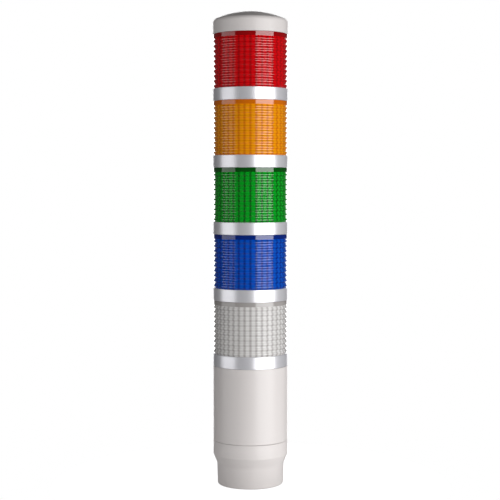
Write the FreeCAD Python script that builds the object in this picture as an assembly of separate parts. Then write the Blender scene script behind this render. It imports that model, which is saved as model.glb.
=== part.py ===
"""Five-tier stack light: a direct-mount base, a body, five light tiers and a cap, each turned and
locked on the one below by a three-lug bayonet. Millimetres, +Z up, origin at the centre of the foot.
A tier is a fluted lens standing on a metallised ring and a carrier, with an upright LED board inside."""

import FreeCAD, Part
import math
import os

Vector = FreeCAD.Vector
UP = Vector(0, 0, 1)
ORIGIN = Vector(0, 0, 0)

# Outside
outer_radius = 30.0
foot_inset = 3.5
waist_inset = 3.05
foot_edge_round = 1.2
waist_height = 17.1
waist_round = 9.0
shoulder_height = 24.5
shoulder_round = 1.6
base_height = 35.8
body_height = 60.2
ring_height = 10.0
lens_height = 43.0
cap_height = 18.3
cap_dome_rise = 5.9
cap_dome_inset = 2.2
cap_rim_round = 3.4
cap_inner_round = 1.0
edge_break = 0.3
seam_gap = 0.2
tier_gap = 0.1
tier_colours = ["clear", "blue", "green", "amber", "red"]

# Walls
housing_wall = 3.0
deck_thickness = 2.5
foot_thickness = 3.0
cap_crown_wall = 2.5
ring_wall = 1.15
collar_wall = 1.8
carrier_floor = 1.4
assembly_gap = 0.05

# Bayonet between two neighbouring pieces
socket_radius = outer_radius - housing_wall
lock_clearance = 0.3
lug_reach = 1.5
neck_wall = 1.6
neck_height = 7.0
lug_count = 3
lug_angle = 16.0
lug_height = 2.0
lug_bottom = 4.5
twist_angle = 20.0
ledge_thickness = 2.0
ledge_overhang = 2.0
stop_angle = 2.5
seal_height = 1.6

# Lens
ridge_pitch = 3.95
ridge_depth = 0.9
ridge_inset = 0.1
band_height = 3.5
band_inset = 0.25
band_step = 0.55
lens_wall = 1.1
lens_top_wall = 1.5
flute_count = 40
flute_depth = 0.85
index_groove_width = 1.6
index_groove_depth = 0.8

# Carrier
hub_radius = 12.5
window_ledge = 1.0
spoke_count = 3
spoke_width = 4.0
rim_height = 1.5
rim_wall = 1.2

# LED board and what is on it
board_width = 12.0
board_thickness = 1.6
board_seat = 2.0
led_pitch = 5.0
led_width = 3.6
led_height = 3.0
led_depth = 1.0
led_dome_radius = 1.2
led_dome_depth = 0.5
led_first_row = 16.0
plug_width = 19.0
plug_depth = 9.0
plug_height = 5.0
plug_step_wall = 1.0
plug_step_depth = 5.0
plug_step_height = 3.5

# Contacts between tiers
disc_inset = 1.5
disc_thickness = 1.6
disc_rise = 2.4
track_count = 6
track_first_radius = 3.0
track_pitch = 1.4
track_groove = 0.3
track_groove_depth = 0.15
pin_radius = 0.45
pin_gap = 0.3

# Body electronics
pedestal_radius = 8.0
pedestal_bore = 4.0
boss_count = 3
boss_inset = 4.5
boss_radius = 3.2
boss_length = 10.0
pilot_radius = 1.2
pilot_depth = 8.0
driver_gap = 3.5
driver_thickness = 1.6
screw_hole_radius = 1.6
screw_head_radius = 2.7
screw_head_height = 1.8
screw_length = 8.0
screw_slot_width = 0.7
screw_slot_depth = 0.8
riser_circle_radius = 2.6
riser_radius = 0.5
terminal_ways = 7
terminal_pitch = 5.0
terminal_depth = 11.0
terminal_height = 12.0
terminal_offset = 9.0
wire_hole_radius = 1.5
wire_hole_depth = 8.0
terminal_screw_radius = 1.6
terminal_screw_recess = 3.0
terminal_screw_length = 2.4
capacitor_radius = 4.0
capacitor_height = 11.0
capacitor_spacing = 10.0
capacitor_offset = 8.5
rectifier_size = 6.0
rectifier_height = 3.0

# Foot
cable_hole_radius = 8.0
mounting_circle_radius = 18.0
mounting_hole_count = 3
mounting_hole_radius = 2.25
mounting_boss_radius = 4.2
mounting_boss_height = 4.0

# Worked out from the sizes above
foot_radius = outer_radius - foot_inset
waist_radius = outer_radius - waist_inset
neck_radius = socket_radius - lock_clearance - lug_reach
neck_bore = neck_radius - neck_wall
lug_radius = neck_radius + lug_reach
hook_radius = neck_radius + lock_clearance
carrier_radius = socket_radius + collar_wall
tier_pitch = ring_height + lens_height
body_bottom = base_height
tier_bottom = base_height + body_height
cap_bottom = tier_bottom + len(tier_colours) * tier_pitch
ridge_peak_radius = outer_radius - ridge_inset
ridge_valley_radius = ridge_peak_radius - ridge_depth
ridge_count = int((lens_height - band_height) / ridge_pitch)
ridge_top = ring_height + ridge_count * ridge_pitch
band_radius = outer_radius - band_inset
flute_cusp_radius = ridge_valley_radius - lens_wall
flute_crest_radius = flute_cusp_radius - flute_depth
band_bore_radius = flute_crest_radius - band_step
window_radius = neck_bore - window_ledge
socket_depth = ring_height - carrier_floor
led_rows = int((lens_height - led_first_row) / led_pitch) + 1
disc_radius = hub_radius - disc_inset
driver_radius = socket_radius - driver_gap
boss_circle_radius = driver_radius - boss_inset


def tangent_arc(before, corner, after, radius):
    """The arc that rounds one corner of a profile, as an edge and its two ends."""
    back = (before - corner).normalize()
    ahead = (after - corner).normalize()
    half = back.getAngle(ahead) / 2
    bisector = (back + ahead).normalize()
    centre = corner + bisector * (radius / math.sin(half))
    start = corner + back * (radius / math.tan(half))
    end = corner + ahead * (radius / math.tan(half))
    middle = centre - bisector * radius
    return Part.Arc(start, middle, end).toShape(), start, end


def section(points):
    """A closed face in the XZ plane from (radius, height) or (radius, height, rounding) corners."""
    corners = [Vector(point[0], 0, point[1]) for point in points]
    rounds = [point[2] if len(point) > 2 else 0 for point in points]
    count = len(corners)
    arcs, starts, ends = [], [], []
    for i, corner in enumerate(corners):
        arc, start, end = None, corner, corner
        if rounds[i]:
            arc, start, end = tangent_arc(corners[i - 1], corner, corners[(i + 1) % count], rounds[i])
        arcs.append(arc)
        starts.append(start)
        ends.append(end)
    edges = []
    for i in range(count):
        if arcs[i]:
            edges.append(arcs[i])
        edges.append(Part.LineSegment(ends[i], starts[(i + 1) % count]).toShape())
    return Part.Face(Part.Wire(edges))


def turned(points):
    return section(points).revolve(ORIGIN, UP, 360)


def tube(inner, outer, bottom, height):
    """A plain ring, or a plain disc where inner is 0."""
    solid = Part.makeCylinder(outer, height, Vector(0, 0, bottom))
    if inner:
        solid = solid.cut(Part.makeCylinder(inner, height, Vector(0, 0, bottom)))
    return solid


def ring_sector(inner, outer, bottom, height, first_angle, sweep):
    """A piece of a ring, from first_angle through sweep degrees about Z."""
    corners = [(inner, bottom), (outer, bottom), (outer, bottom + height), (inner, bottom + height)]
    solid = section(corners).revolve(ORIGIN, UP, sweep)
    solid.rotate(ORIGIN, UP, first_angle)
    return solid


def block(width, depth, bottom, height, x=0.0, y=0.0):
    return Part.makeBox(width, depth, height, Vector(x - width / 2, y - depth / 2, bottom))


def rod(radius, bottom, height, x=0.0, y=0.0):
    return Part.makeCylinder(radius, height, Vector(x, y, bottom))


def spread(count, radius, first_angle=90.0):
    """(x, y) of count points evenly round a circle."""
    angles = [math.radians(first_angle + 360.0 * i / count) for i in range(count)]
    return [(radius * math.cos(angle), radius * math.sin(angle)) for angle in angles]


def merged(solids):
    return solids[0].fuse(solids[1:]).removeSplitter()


def group(solids):
    return Part.makeCompound(solids)


def lug_angles():
    return [90.0 + 360.0 * i / lug_count for i in range(lug_count)]


def neck(plane):
    """The lower half of a bayonet: a neck standing on plane with three lugs near its top."""
    pieces = [tube(neck_bore, neck_radius, plane, neck_height)]
    for angle in lug_angles():
        inner = neck_radius - neck_wall / 2
        first = angle - lug_angle / 2
        pieces.append(ring_sector(inner, lug_radius, plane + lug_bottom, lug_height, first, lug_angle))
    return pieces


def hooks(plane, wall):
    """The upper half: a ledge under each lug and a stop at each end of its turn, on a socket wall."""
    slack = math.degrees(lock_clearance / lug_radius)
    ledge_bottom = plane + lug_bottom - lock_clearance - ledge_thickness
    stop_height = ledge_thickness + lock_clearance + lug_height
    outer = socket_radius + wall / 2
    locked_stop = lug_angle / 2 + slack
    ledge_start = -lug_angle / 2 - ledge_overhang
    ledge_sweep = locked_stop + stop_angle - ledge_start
    released_stop = -twist_angle - lug_angle / 2 - slack - stop_angle
    pieces = []
    for angle in lug_angles():
        pieces.append(
            ring_sector(
                hook_radius, outer, ledge_bottom, ledge_thickness, angle + ledge_start, ledge_sweep
            )
        )
        for stop in (locked_stop, released_stop):
            pieces.append(
                ring_sector(hook_radius, outer, ledge_bottom, stop_height, angle + stop, stop_angle)
            )
    return pieces


def seal(plane):
    """The rubber ring round the root of a neck."""
    return tube(neck_radius + assembly_gap, lug_radius, plane, seal_height)


def base_mount():
    shell = turned(
        [
            (0, 0),
            (foot_radius, 0, foot_edge_round),
            (waist_radius, waist_height, waist_round),
            (outer_radius, shoulder_height, shoulder_round),
            (outer_radius, base_height, edge_break),
            (0, base_height),
        ]
    )
    chamber = tube(0, neck_bore, foot_thickness, base_height)
    hole_depth = foot_thickness + mounting_boss_height
    posts = spread(mounting_hole_count, mounting_circle_radius)
    bosses = [rod(mounting_boss_radius, 0, hole_depth, x, y) for x, y in posts]
    holes = [rod(mounting_hole_radius, 0, hole_depth, x, y) for x, y in posts]
    solid = merged([shell.cut(chamber)] + neck(base_height) + bosses)
    return solid.cut(group(holes + [rod(cable_hole_radius, 0, foot_thickness)])).removeSplitter()


def boss_places():
    """Centres of the bosses under the deck that the driver board is screwed to."""
    return spread(boss_count, boss_circle_radius, -90.0)


def body_shell():
    bottom = body_bottom + seam_gap
    deck = tier_bottom - deck_thickness
    shell = turned(
        [
            (socket_radius, bottom),
            (outer_radius, bottom, edge_break),
            (outer_radius, tier_bottom),
            (0, tier_bottom),
            (0, deck),
            (socket_radius, deck),
        ]
    )
    pieces = [shell, tube(0, pedestal_radius, tier_bottom, disc_rise)]
    posts = boss_places()
    pieces += [rod(boss_radius, deck - boss_length, boss_length, x, y) for x, y in posts]
    solid = merged(pieces + neck(tier_bottom) + hooks(body_bottom, housing_wall))
    pilots = [rod(pilot_radius, deck - boss_length, pilot_depth, x, y) for x, y in posts]
    passage = rod(pedestal_bore, deck, deck_thickness + disc_rise)
    return solid.cut(group(pilots + [passage])).removeSplitter()


def flute_tool(bottom, height):
    """The space inside the lens: a prism whose side is a row of arcs that swell inwards."""
    half_step = 180.0 / flute_count
    cusps = [Vector(x, y, bottom) for x, y in spread(flute_count, flute_cusp_radius, -90.0 - half_step)]
    crests = [Vector(x, y, bottom) for x, y in spread(flute_count, flute_crest_radius, -90.0)]
    edges = []
    for i in range(flute_count):
        edges.append(Part.Arc(cusps[i], crests[i], cusps[(i + 1) % flute_count]).toShape())
    return Part.Face(Part.Wire(edges)).extrude(Vector(0, 0, height))


def wave_arc(extreme, middle, first, last):
    """One bend of the ridged wall: an arc about a peak or a valley of radius extreme at height middle.
    first and last run from -1 to 1, from one slope's mid point to the other's."""
    mean_radius = (ridge_peak_radius + ridge_valley_radius) / 2
    rise = ridge_depth / 2
    half_chord = ridge_pitch / 4
    bend_radius = (half_chord**2 + rise**2) / (2 * rise)
    bend_angle = math.asin(half_chord / bend_radius)
    outward = 1 if extreme > mean_radius else -1
    points = []
    for share in (first, (first + last) / 2, last):
        angle = share * bend_angle
        radius = extreme - outward * bend_radius * (1 - math.cos(angle))
        points.append(Vector(radius, 0, middle + bend_radius * math.sin(angle)))
    return Part.Arc(*points).toShape()


def lens_section(plane):
    """Half section of a lens: rounded ridges and valleys, a plain band, a top wall and its bore."""
    bottom = plane + ring_height
    top = plane + tier_pitch
    edges = []
    for i in range(ridge_count):
        valley = bottom + i * ridge_pitch
        edges.append(wave_arc(ridge_valley_radius, valley, 0 if i == 0 else -1, 1))
        edges.append(wave_arc(ridge_peak_radius, valley + ridge_pitch / 2, -1, 1))
    edges.append(wave_arc(ridge_valley_radius, plane + ridge_top, -1, 0))
    corners = [
        (ridge_valley_radius, plane + ridge_top),
        (band_radius, plane + ridge_top),
        (band_radius, top),
        (neck_bore, top),
        (neck_bore, top - lens_top_wall),
        (band_bore_radius, top - lens_top_wall),
        (band_bore_radius, bottom),
        (ridge_valley_radius, bottom),
    ]
    points = [Vector(radius, 0, height) for radius, height in corners]
    for start, end in zip(points, points[1:]):
        edges.append(Part.LineSegment(start, end).toShape())
    return Part.Face(Part.Wire(edges))


def lens(plane):
    top = plane + tier_pitch
    wall = lens_section(plane).revolve(ORIGIN, UP, 360)
    solid = merged([wall] + neck(top))
    flutes = flute_tool(plane + ring_height, ridge_count * ridge_pitch)
    groove_height = top - lens_top_wall - plane - ridge_top
    groove_y = -(band_bore_radius + index_groove_depth / 2)
    groove = block(
        index_groove_width, index_groove_depth * 2, plane + ridge_top, groove_height, 0, groove_y
    )
    return solid.cut(flutes).cut(groove)


def trim_ring(plane):
    bottom = plane + tier_gap
    top = plane + ring_height
    bore = outer_radius - ring_wall
    return turned(
        [
            (bore, bottom),
            (outer_radius, bottom, edge_break),
            (outer_radius, top, edge_break),
            (bore, top),
        ]
    )


def carrier(plane):
    """The moulding inside the ring: bayonet socket below, open floor and hub, rim for the lens above."""
    bottom = plane + tier_gap
    floor = plane + socket_depth
    skirt = tube(socket_radius, carrier_radius - assembly_gap, bottom, floor - bottom)
    plate = tube(0, carrier_radius - assembly_gap, floor, carrier_floor)
    plate = plate.cut(tube(hub_radius, window_radius, floor, carrier_floor))
    spoke_length = window_radius - hub_radius + 2 * rim_wall
    spokes = []
    for i in range(spoke_count):
        spoke = Part.makeBox(
            spoke_length, spoke_width, carrier_floor, Vector(hub_radius - rim_wall, -spoke_width / 2, floor)
        )
        spoke.rotate(ORIGIN, UP, -90.0 + 360.0 * i / spoke_count)
        spokes.append(spoke)
    rim_radius = flute_crest_radius - lock_clearance
    rim = tube(rim_radius - rim_wall, rim_radius, plane + ring_height, rim_height)
    return merged([skirt, plate, rim] + spokes + hooks(plane, collar_wall))


def led_board(plane):
    """The upright board, from its seat in the plug to the contact disc."""
    bottom = plane + ring_height + board_seat
    top = plane + tier_pitch + disc_rise
    return block(board_width, board_thickness, bottom, top - bottom)


def board_plug(plane):
    """The stepped block on the hub that the board stands in."""
    bottom = plane + ring_height
    base = block(plug_width, plug_depth, bottom, plug_height)
    step_width = board_width + 2 * plug_step_wall
    step = block(step_width, plug_step_depth, bottom + plug_height, plug_step_height)
    slot_height = plug_height + plug_step_height - board_seat
    slot = block(
        board_width + 2 * assembly_gap,
        board_thickness + 2 * assembly_gap,
        bottom + board_seat,
        slot_height,
    )
    return merged([base, step]).cut(slot)


def leds(plane):
    """A column of LED packages on each face of the board."""
    pieces = []
    for side in (-1, 1):
        body_y = side * (board_thickness + led_depth) / 2
        dome_y = side * (board_thickness / 2 + led_depth)
        for row in range(led_rows):
            middle = plane + ring_height + led_first_row + row * led_pitch
            package = block(led_width, led_depth, middle - led_height / 2, led_height, 0, body_y)
            dome = Part.makeCylinder(
                led_dome_radius, led_dome_depth, Vector(0, dome_y, middle), Vector(0, side, 0)
            )
            pieces.append(merged([package, dome]))
    return group(pieces)


def contact_disc(plane):
    """The round board with a ring track for each circuit, cut as shallow grooves between tracks."""
    bottom = plane + disc_rise
    disc = tube(0, disc_radius, bottom, disc_thickness)
    grooves = []
    for i in range(track_count + 1):
        middle = track_first_radius + (i - 0.5) * track_pitch
        inner = middle - track_groove / 2
        groove_bottom = bottom + disc_thickness - track_groove_depth
        grooves.append(tube(inner, inner + track_groove, groove_bottom, track_groove_depth))
    return disc.cut(group(grooves))


def contact_pins(plane):
    """The sprung pins under the hub, one over each track of the disc below."""
    bottom = plane + disc_rise + disc_thickness + pin_gap
    height = socket_depth - disc_rise - disc_thickness - pin_gap
    pieces = []
    for i in range(track_count):
        radius = track_first_radius + i * track_pitch
        angle = math.radians(360.0 * i / track_count)
        pieces.append(rod(pin_radius, bottom, height, radius * math.cos(angle), radius * math.sin(angle)))
    return group(pieces)


def driver_plane():
    """Height of the driver board's upper face."""
    return tier_bottom - deck_thickness - boss_length


def driver_board():
    holes = [
        rod(screw_hole_radius, driver_plane() - driver_thickness, driver_thickness, x, y)
        for x, y in boss_places()
    ]
    return tube(0, driver_radius, driver_plane() - driver_thickness, driver_thickness).cut(group(holes))


def driver_screws():
    under = driver_plane() - driver_thickness
    pieces = []
    for x, y in boss_places():
        head = rod(screw_head_radius, under - screw_head_height, screw_head_height, x, y)
        shank = rod(pilot_radius - assembly_gap, under, screw_length, x, y)
        slot_bottom = under - screw_head_height
        slot = block(2 * screw_head_radius, screw_slot_width, slot_bottom, screw_slot_depth, x, y)
        pieces.append(merged([head, shank]).cut(slot))
    return group(pieces)


def riser_pins():
    """The pins that carry the circuits from the driver board up to the body's contact disc."""
    height = tier_bottom + disc_rise - driver_plane()
    places = spread(track_count, riser_circle_radius)
    return group([rod(riser_radius, driver_plane(), height, x, y) for x, y in places])


def terminal_places():
    first = -(terminal_ways - 1) / 2
    return [(first + i) * terminal_pitch for i in range(terminal_ways)]


def terminal_block():
    bottom = driver_plane() - driver_thickness - terminal_height
    width = terminal_ways * terminal_pitch
    body = block(width, terminal_depth, bottom, terminal_height, 0, -terminal_offset)
    face_y = -terminal_offset - terminal_depth / 2
    tools = []
    for x in terminal_places():
        tools.append(rod(wire_hole_radius, bottom, wire_hole_depth, x, -terminal_offset))
        tools.append(
            Part.makeCylinder(
                terminal_screw_radius + assembly_gap,
                terminal_screw_recess,
                Vector(x, face_y, bottom + terminal_height / 2),
                Vector(0, 1, 0),
            )
        )
    return body.cut(group(tools))


def terminal_screws():
    middle = driver_plane() - driver_thickness - terminal_height / 2
    inner_y = -terminal_offset - terminal_depth / 2 + terminal_screw_recess
    pieces = []
    for x in terminal_places():
        start = Vector(x, inner_y, middle)
        screw = Part.makeCylinder(terminal_screw_radius, terminal_screw_length, start, Vector(0, -1, 0))
        outer_y = inner_y - terminal_screw_length
        slot = Part.makeBox(
            2 * terminal_screw_radius,
            screw_slot_depth,
            screw_slot_width,
            Vector(x - terminal_screw_radius, outer_y, middle - screw_slot_width / 2),
        )
        pieces.append(screw.cut(slot))
    return group(pieces)


def driver_parts():
    """Two smoothing capacitors and a rectifier under the driver board."""
    under = driver_plane() - driver_thickness
    pieces = []
    for side in (-1, 1):
        x = side * capacitor_spacing / 2
        pieces.append(rod(capacitor_radius, under - capacitor_height, capacitor_height, x, capacitor_offset))
    pieces.append(block(rectifier_size, rectifier_size, under - rectifier_height, rectifier_height))
    return group(pieces)


def dome_section(side_radius, sphere_radius, sphere_height, rim_round, bottom):
    """Half section of a solid cup turned over: straight side, rounded rim and a spherical crown."""
    offset = side_radius - rim_round
    rise = math.sqrt((sphere_radius - rim_round) ** 2 - offset**2)
    rim_centre = Vector(offset, 0, sphere_height + rise)
    outward = Vector(offset, 0, rise).normalize()
    rim_middle = (outward + Vector(1, 0, 0)).normalize()
    side_end = rim_centre + Vector(rim_round, 0, 0)
    crown_start = rim_centre + outward * rim_round
    crown_middle = Vector(offset / 2, 0, sphere_height + math.sqrt(sphere_radius**2 - (offset / 2) ** 2))
    apex = Vector(0, 0, sphere_height + sphere_radius)
    edges = [
        Part.LineSegment(Vector(0, 0, bottom), Vector(side_radius, 0, bottom)).toShape(),
        Part.LineSegment(Vector(side_radius, 0, bottom), side_end).toShape(),
        Part.Arc(side_end, rim_centre + rim_middle * rim_round, crown_start).toShape(),
        Part.Arc(crown_start, crown_middle, apex).toShape(),
        Part.LineSegment(apex, Vector(0, 0, bottom)).toShape(),
    ]
    return Part.Face(Part.Wire(edges))


def head_cap():
    """The cap: a straight side, a rounded rim and a shallow dome, hollow inside."""
    bottom = cap_bottom + tier_gap
    dome_edge_radius = outer_radius - cap_dome_inset
    dome_radius = (dome_edge_radius**2 + cap_dome_rise**2) / (2 * cap_dome_rise)
    dome_height = cap_bottom + cap_height - dome_radius
    outside = dome_section(outer_radius, dome_radius, dome_height, cap_rim_round, bottom)
    inner_sphere = dome_radius - cap_crown_wall
    inside = dome_section(socket_radius, inner_sphere, dome_height, cap_inner_round, bottom)
    solid = outside.revolve(ORIGIN, UP, 360).cut(inside.revolve(ORIGIN, UP, 360))
    lower = [edge for edge in solid.Edges if edge.BoundBox.ZMax < bottom + edge_break]
    rim = max(lower, key=lambda edge: edge.BoundBox.XLength)
    solid = solid.makeFillet(edge_break, [rim])
    return merged([solid] + hooks(cap_bottom, housing_wall))


def tier():
    """The pieces of one light tier, standing on the plane at height 0."""
    return {
        "ring": trim_ring(0),
        "carrier": carrier(0),
        "lens": lens(0),
        "board_plug": board_plug(0),
        "led_board": led_board(0),
        "leds": leds(0),
        "contact_disc": contact_disc(tier_pitch),
        "contact_pins": contact_pins(0),
        "seal": seal(tier_pitch),
    }


def all_nodes():
    nodes = {
        "base_mount": base_mount(),
        "seal_base": seal(base_height),
        "body_shell": body_shell(),
        "seal_body": seal(tier_bottom),
        "contact_disc_body": contact_disc(tier_bottom),
        "riser_pins": riser_pins(),
        "driver_board": driver_board(),
        "driver_screws": driver_screws(),
        "driver_parts": driver_parts(),
        "terminal_block": terminal_block(),
        "terminal_screws": terminal_screws(),
        "head_cap": head_cap(),
    }
    for piece, shape in tier().items():
        for i, colour in enumerate(tier_colours):
            lift = Vector(0, 0, tier_bottom + i * tier_pitch)
            nodes[f"{piece}_{colour}"] = shape.translated(lift)
    return nodes


os.makedirs("parts", exist_ok=True)
for name, shape in all_nodes().items():
    shape.exportStep(f"parts/{name}.step")
    print(name, len(shape.Solids), round(shape.Volume, 1), shape.isValid())
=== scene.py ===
import math

import bpy
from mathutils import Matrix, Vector


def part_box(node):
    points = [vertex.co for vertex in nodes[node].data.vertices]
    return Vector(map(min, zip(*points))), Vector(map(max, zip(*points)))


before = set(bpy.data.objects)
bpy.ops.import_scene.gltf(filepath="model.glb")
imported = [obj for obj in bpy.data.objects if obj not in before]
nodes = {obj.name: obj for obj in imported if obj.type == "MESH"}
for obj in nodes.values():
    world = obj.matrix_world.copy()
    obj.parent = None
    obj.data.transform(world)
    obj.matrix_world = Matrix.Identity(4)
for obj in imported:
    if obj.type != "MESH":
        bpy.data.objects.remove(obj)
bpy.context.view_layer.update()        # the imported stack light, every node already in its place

tierColours = ["clear", "blue", "green", "amber", "red"]   # from the foot up
noiseSpan = (0.3, 0.7)   # most of a noise texture lies between these


def startMaterial(name):
    material = bpy.data.materials.new(name)
    material.use_nodes = True
    return material, material.node_tree


def addNode(tree, kind, **values):
    # each value goes to the socket of that name, or else to the node's own setting
    node = tree.nodes.new(kind)
    for key, value in values.items():
        if key in node.inputs:
            node.inputs[key].default_value = value
        else:
            setattr(node, key, value)
    return node


def mapRange(tree, source, fromSpan, toSpan):
    spread = addNode(tree, "ShaderNodeMapRange")
    spread.inputs["From Min"].default_value = fromSpan[0]
    spread.inputs["From Max"].default_value = fromSpan[1]
    spread.inputs["To Min"].default_value = toSpan[0]
    spread.inputs["To Max"].default_value = toSpan[1]
    tree.links.new(source, spread.inputs["Value"])
    return spread.outputs["Result"]


def noiseOn(tree, scale, detail=3.0, stretch=(1, 1, 1)):
    # noise on Object coordinates, metres, so it stays put on the piece
    place = addNode(tree, "ShaderNodeTexCoord")
    mapping = addNode(tree, "ShaderNodeMapping", Scale=stretch)
    noise = addNode(tree, "ShaderNodeTexNoise", Scale=scale, Detail=detail)
    tree.links.new(place.outputs["Object"], mapping.inputs["Vector"])
    tree.links.new(mapping.outputs["Vector"], noise.inputs["Vector"])
    return noise.outputs["Fac"]


def addBump(tree, height, strength, distance):
    bump = addNode(tree, "ShaderNodeBump", Strength=strength, Distance=distance)
    tree.links.new(height, bump.inputs["Height"])
    tree.links.new(bump.outputs["Normal"], tree.nodes["Principled BSDF"].inputs["Normal"])


def varyRoughness(tree, noise, polish):
    tree.links.new(mapRange(tree, noise, noiseSpan, polish), tree.nodes["Principled BSDF"].inputs["Roughness"])


def varyColour(tree, factor, atZero, atOne):
    mix = addNode(tree, "ShaderNodeMix", data_type="RGBA")
    mix.inputs["A"].default_value = (*atZero, 1)
    mix.inputs["B"].default_value = (*atOne, 1)
    tree.links.new(factor, mix.inputs["Factor"])
    tree.links.new(mix.outputs["Result"], tree.nodes["Principled BSDF"].inputs["Base Color"])


def perTier(stem):
    return [stem + colour for colour in tierColours]


def dress(nodeNames, material):
    for name in nodeNames:
        for slot in nodes[name].material_slots:
            slot.material = material


# foot, body and cap: pale warm plastic with a faint grain
housingLook = {
    "dark": (0.775, 0.732, 0.718), "light": (0.80, 0.757, 0.742), "clouds": 25, "index": 1.45,
    "grain": 1400, "grainDetail": 4, "polish": (0.27, 0.33), "relief": 0.05, "reliefDepth": 0.00005,
}


def housingPlastic():
    material, tree = startMaterial("housingPlastic")
    tree.nodes["Principled BSDF"].inputs["IOR"].default_value = housingLook["index"]
    varyColour(tree, noiseOn(tree, housingLook["clouds"]), housingLook["dark"], housingLook["light"])
    grain = noiseOn(tree, housingLook["grain"], housingLook["grainDetail"])
    varyRoughness(tree, grain, housingLook["polish"])
    addBump(tree, grain, housingLook["relief"], housingLook["reliefDepth"])
    return material


# rings: plastic with a satin metal coat, silver with a touch of blue
ringLook = {
    "dark": (0.90, 0.895, 0.94), "light": (0.93, 0.925, 0.97), "clouds": 60, "metal": 0.5,
    "bands": 90, "bandDetail": 2, "bandStretch": (1, 1, 4), "polish": (0.30, 0.33),
}


def metallisedRing():
    material, tree = startMaterial("metallisedRing")
    tree.nodes["Principled BSDF"].inputs["Metallic"].default_value = ringLook["metal"]
    varyColour(tree, noiseOn(tree, ringLook["clouds"]), ringLook["dark"], ringLook["light"])
    bands = noiseOn(tree, ringLook["bands"], ringLook["bandDetail"], ringLook["bandStretch"])
    varyRoughness(tree, bands, ringLook["polish"])
    return material


dress(["base_mount", "body_shell", "head_cap"], housingPlastic())
dress(perTier("ring_"), metallisedRing())
print("housing and rings dressed")


# lenses: tintWithPaintedLight is the lens tint with painted light, in the grooves between the flutes;
# tintWithPaintedShade is the tint with painted shade, on the flute crests, on one line in each ridge pitch and
# on the plain band;
# body what the wall lets through, and haze the cloudy share of the moulding
lensLooks = {
    "clear": {"tintWithPaintedLight": (1.0, 0.985, 0.975), "tintWithPaintedShade": (0.50, 0.47, 0.455),
              "body": (0.86, 0.845, 0.835), "haze": 0.78},
    "blue": {"tintWithPaintedLight": (0.002, 0.18, 1.0), "tintWithPaintedShade": (0.001, 0.034, 0.36),
             "body": (0.02, 0.40, 0.66), "haze": 0.50},
    "green": {"tintWithPaintedLight": (0.002, 0.74, 0.035), "tintWithPaintedShade": (0.001, 0.15, 0.006),
              "body": (0.02, 0.56, 0.20), "haze": 0.50},
    "amber": {"tintWithPaintedLight": (1.0, 0.39, 0.001), "tintWithPaintedShade": (0.70, 0.16, 0.001),
              "body": (0.96, 0.58, 0.02), "haze": 0.93},
    "red": {"tintWithPaintedLight": (1.0, 0.001, 0.006), "tintWithPaintedShade": (0.44, 0.001, 0.003),
            "body": (0.88, 0.02, 0.06), "haze": 0.68},
}
lensBuild = {
    "density": 300, "polish": (0.015, 0.03), "flow": 90, "flowDetail": 2, "index": 1.49, "gloss": 0.7,
    "flutes": 40, "ridgePitch": 0.00395, "ridgeStart": 0.010, "ridgeTop": 0.0495,   # metres above the tier
    # ridgeShare and grooveLevel shape the painted light and shade stripes on the lenses
    "ridgeShare": 0.34, "grooveLevel": -0.3,
}


def waveOf(tree, source, perUnit, shift):
    # 0 for most of each turn and up to 1 once, perUnit radians for one unit of the source
    turns = addNode(tree, "ShaderNodeMath", operation="MULTIPLY_ADD")
    turns.inputs[1].default_value = perUnit
    turns.inputs[2].default_value = shift
    wave = addNode(tree, "ShaderNodeMath", operation="COSINE")
    tree.links.new(source, turns.inputs[0])
    tree.links.new(turns.outputs[0], wave.inputs[0])
    return mapRange(tree, wave.outputs[0], (lensBuild["grooveLevel"], 1), (0, 1))


def paintedStripeShade(tree, tierBottom):
    # painted shade: 1 on the crests of the flutes, on one line in each ridge pitch and on the plain band over
    # the ridges; towards 0 in the grooves between the flutes, which take painted light
    place = addNode(tree, "ShaderNodeTexCoord")
    parts = addNode(tree, "ShaderNodeSeparateXYZ")
    angle = addNode(tree, "ShaderNodeMath", operation="ARCTAN2")
    tree.links.new(place.outputs["Object"], parts.inputs[0])
    tree.links.new(parts.outputs["Y"], angle.inputs[0])
    tree.links.new(parts.outputs["X"], angle.inputs[1])
    flutes = waveOf(tree, angle.outputs[0], lensBuild["flutes"], 0)
    perMetre = 2 * math.pi / lensBuild["ridgePitch"]
    start = tierBottom + lensBuild["ridgeStart"]
    ridges = waveOf(tree, parts.outputs["Z"], perMetre, -perMetre * start - math.pi / 2)
    both = addNode(tree, "ShaderNodeMix", data_type="FLOAT")
    both.inputs["Factor"].default_value = lensBuild["ridgeShare"]
    tree.links.new(flutes, both.inputs["A"])
    tree.links.new(ridges, both.inputs["B"])
    # painted shade: the plain band over the ridges takes the shaded tint all over
    band = addNode(tree, "ShaderNodeMath", operation="GREATER_THAN")   # the plain band over the ridges
    band.inputs[1].default_value = tierBottom + lensBuild["ridgeTop"]
    tree.links.new(parts.outputs["Z"], band.inputs[0])
    whole = addNode(tree, "ShaderNodeMath", operation="MAXIMUM")
    tree.links.new(both.outputs["Result"], whole.inputs[0])
    tree.links.new(band.outputs[0], whole.inputs[1])
    return whole.outputs[0]


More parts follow.
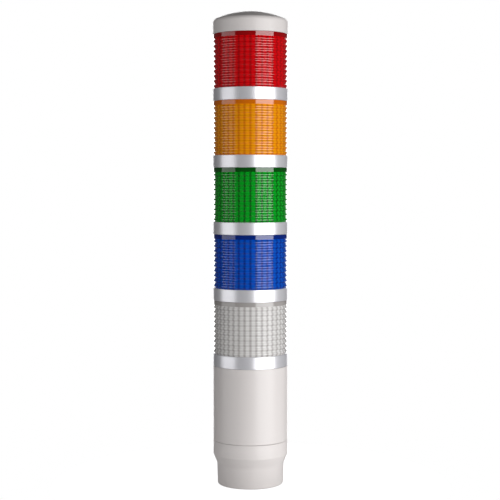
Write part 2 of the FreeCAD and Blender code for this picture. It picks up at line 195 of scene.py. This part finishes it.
def lensPlastic(colour):
    look = lensLooks[colour]
    material, tree = startMaterial("lens" + colour.capitalize())
    shader = tree.nodes["Principled BSDF"]
    shader.inputs["IOR"].default_value = lensBuild["index"]
    shader.inputs["Transmission Weight"].default_value = 1 - look["haze"]
    shader.inputs["Coat Weight"].default_value = lensBuild["gloss"]
    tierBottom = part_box("ring_" + colour)[0][2]
    # painted light and shade: lit and shaded tints in stripes over the flutes and ridges stand in for the
    # bright and dark bands that light makes through the lens
    varyColour(tree, paintedStripeShade(tree, tierBottom), look["tintWithPaintedLight"], look["tintWithPaintedShade"])
    varyRoughness(tree, noiseOn(tree, lensBuild["flow"], lensBuild["flowDetail"]), lensBuild["polish"])
    # light takes on the body tint with the length of its way through the wall
    wall = addNode(tree, "ShaderNodeVolumeAbsorption", Color=(*look["body"], 1), Density=lensBuild["density"])
    tree.links.new(wall.outputs["Volume"], tree.nodes["Material Output"].inputs["Volume"])
    return material


for colour in tierColours:
    dress(["lens_" + colour], lensPlastic(colour))
print("lenses dressed")


# what shows through the lenses, or only when a tier is taken off
innerFinishes = {
    "carrierPlastic": {"colour": (0.86, 0.85, 0.84), "pieces": perTier("carrier_")},
    "plugPlastic": {"colour": (0.16, 0.16, 0.165), "pieces": perTier("board_plug_")},
    "whiteBoard": {"colour": (0.90, 0.90, 0.88), "pieces": perTier("led_board_")},
    "greenBoard": {"colour": (0.03, 0.16, 0.07),
                   "pieces": ["contact_disc_body", *perTier("contact_disc_"), "driver_board"]},
    "ledPackage": {"colour": (0.85, 0.83, 0.70), "pieces": perTier("leds_")},
    "goldContact": {"colour": (0.83, 0.62, 0.30), "polish": (0.2, 0.3), "metal": 1,
                    "pieces": ["riser_pins", *perTier("contact_pins_")]},
    "sealRubber": {"colour": (0.02, 0.02, 0.021), "polish": (0.6, 0.75),
                   "pieces": ["seal_base", "seal_body", *perTier("seal_")]},
    "zincScrew": {"colour": (0.66, 0.67, 0.68), "polish": (0.25, 0.35), "metal": 1,
                  "pieces": ["driver_screws", "terminal_screws"]},
    "terminalPlastic": {"colour": (0.05, 0.22, 0.12), "pieces": ["terminal_block"]},
    "componentBlack": {"colour": (0.02, 0.02, 0.022), "pieces": ["driver_parts"]},
}
innerGrain = {"scale": 500, "darker": 0.92, "polish": (0.4, 0.5), "relief": 0.08, "reliefDepth": 0.0001}


def innerFinish(name, look):
    material, tree = startMaterial(name)
    tree.nodes["Principled BSDF"].inputs["Metallic"].default_value = look.get("metal", 0)
    grain = noiseOn(tree, innerGrain["scale"])
    darker = tuple(channel * innerGrain["darker"] for channel in look["colour"])
    varyColour(tree, grain, darker, look["colour"])
    varyRoughness(tree, grain, look.get("polish", innerGrain["polish"]))
    addBump(tree, grain, innerGrain["relief"], innerGrain["reliefDepth"])
    return material


for name, look in innerFinishes.items():
    dress(look["pieces"], innerFinish(name, look))
print("inner parts dressed")


def seenPlainly(tree):
    # 1 for rays from the camera and for those that came through glass, and their Light Path node
    path = addNode(tree, "ShaderNodeLightPath")
    either = addNode(tree, "ShaderNodeMath", operation="MAXIMUM")
    tree.links.new(path.outputs["Is Camera Ray"], either.inputs[0])
    tree.links.new(path.outputs["Is Transmission Ray"], either.inputs[1])
    return either.outputs[0], path


# white where it is seen plainly; gloss sees it white only straight behind the column
studioWorld = {"white": (1, 1, 1, 1), "ambient": 0.13, "dimGloss": 0.04, "backdrop": (0.90, 0.99)}


def addWorld():
    world = bpy.data.worlds.new("paleStudio")
    world.use_nodes = True
    tree = world.node_tree
    direction = addNode(tree, "ShaderNodeTexCoord")
    parts = addNode(tree, "ShaderNodeSeparateXYZ")
    tree.links.new(direction.outputs["Generated"], parts.inputs[0])
    behind = mapRange(tree, parts.outputs["Y"], studioWorld["backdrop"], (studioWorld["dimGloss"], 1))
    plainly, path = seenPlainly(tree)
    gloss = addNode(tree, "ShaderNodeMix", data_type="FLOAT")
    gloss.inputs["A"].default_value = studioWorld["ambient"]
    tree.links.new(path.outputs["Is Glossy Ray"], gloss.inputs["Factor"])
    tree.links.new(behind, gloss.inputs["B"])
    level = addNode(tree, "ShaderNodeMix", data_type="FLOAT")
    level.inputs["B"].default_value = 1
    tree.links.new(plainly, level.inputs["Factor"])
    tree.links.new(gloss.outputs[0], level.inputs["A"])
    background = tree.nodes["Background"]
    background.inputs["Color"].default_value = studioWorld["white"]
    tree.links.new(level.outputs[0], background.inputs["Strength"])
    bpy.context.scene.world = world


# the floor glows where it is seen plainly, and keeps the shadow; drop clears the foot's underside
floorLook = {"radius": 0.16, "edges": 96, "drop": 0.0003, "colour": (0.8, 0.8, 0.8, 1),
             "roughness": 0.9, "glow": 0.9}


def addFloor():
    bpy.ops.object.select_all(action="DESELECT")
    bpy.ops.mesh.primitive_circle_add(vertices=floorLook["edges"], radius=floorLook["radius"],
                                      fill_type="NGON", location=(0, 0, 0))
    bpy.ops.object.mode_set(mode="EDIT")
    bpy.ops.transform.translate(value=(0, 0, -floorLook["drop"]))
    bpy.ops.object.mode_set(mode="OBJECT")
    floor = bpy.context.active_object
    floor.name = "floor"
    material, tree = startMaterial("paleFloor")
    shader = tree.nodes["Principled BSDF"]
    shader.inputs["Base Color"].default_value = floorLook["colour"]
    shader.inputs["Roughness"].default_value = floorLook["roughness"]
    plainly, _ = seenPlainly(tree)
    glow = addNode(tree, "ShaderNodeEmission", Strength=floorLook["glow"])
    total = addNode(tree, "ShaderNodeAddShader")
    mix = addNode(tree, "ShaderNodeMixShader")
    tree.links.new(shader.outputs[0], total.inputs[0])
    tree.links.new(glow.outputs[0], total.inputs[1])
    tree.links.new(plainly, mix.inputs[0])
    tree.links.new(shader.outputs[0], mix.inputs[1])
    tree.links.new(total.outputs[0], mix.inputs[2])
    tree.links.new(mix.outputs[0], tree.nodes["Material Output"].inputs["Surface"])
    floor.data.materials.append(material)


# azimuths in degrees to the right of the camera side, seen from the column; metres and watts
softboxes = {
    "leftSoftbox": {"azimuths": (-98, -47), "distance": 1.0, "height": 0.66, "middle": 0.17, "power": 2.1},
    "rightSoftbox": {"azimuths": (16, 75), "distance": 1.0, "height": 0.66, "middle": 0.17, "power": 8.3},
    "backSoftbox": {"azimuths": (158, 202), "distance": 1.0, "height": 0.9, "middle": 0.25, "power": 3.8},
}


def addSoftbox(name, build):
    # a flat panel whose two upright edges stand on the circle of its distance, facing the column
    fromAzimuth, toAzimuth = build["azimuths"]
    half = math.radians(toAzimuth - fromAzimuth) / 2
    azimuth = math.radians(toAzimuth + fromAzimuth) / 2
    reach = build["distance"] * math.cos(half)
    light = bpy.data.lights.new(name, "AREA")
    light.shape = "RECTANGLE"
    light.size = 2 * build["distance"] * math.sin(half)
    light.size_y = build["height"]
    light.energy = build["power"]
    box = bpy.data.objects.new(name, light)
    bpy.context.scene.collection.objects.link(box)
    box.location = (reach * math.sin(azimuth), -reach * math.cos(azimuth), build["middle"])
    aim = Vector((0, 0, build["middle"])) - box.location
    box.rotation_euler = aim.to_track_quat("-Z", "Y").to_euler()


cameraBuild = {"lens": 92.2, "sensor": 36, "shift": -0.0008, "place": (0, -1.030, 0.2423), "downward": 2.96}


def addCamera():
    data = bpy.data.cameras.new("camera")
    data.lens = cameraBuild["lens"]
    data.sensor_width = cameraBuild["sensor"]
    data.shift_x = cameraBuild["shift"]
    camera = bpy.data.objects.new("camera", data)
    bpy.context.scene.collection.objects.link(camera)
    camera.location = cameraBuild["place"]
    camera.rotation_euler = (math.radians(90 - cameraBuild["downward"]), 0, 0)
    bpy.context.scene.camera = camera


bpy.context.scene.view_settings.view_transform = "Standard"
addWorld()
addFloor()
print("world and floor ready")
for name, build in softboxes.items():
    addSoftbox(name, build)
addCamera()
print("lights and camera ready")
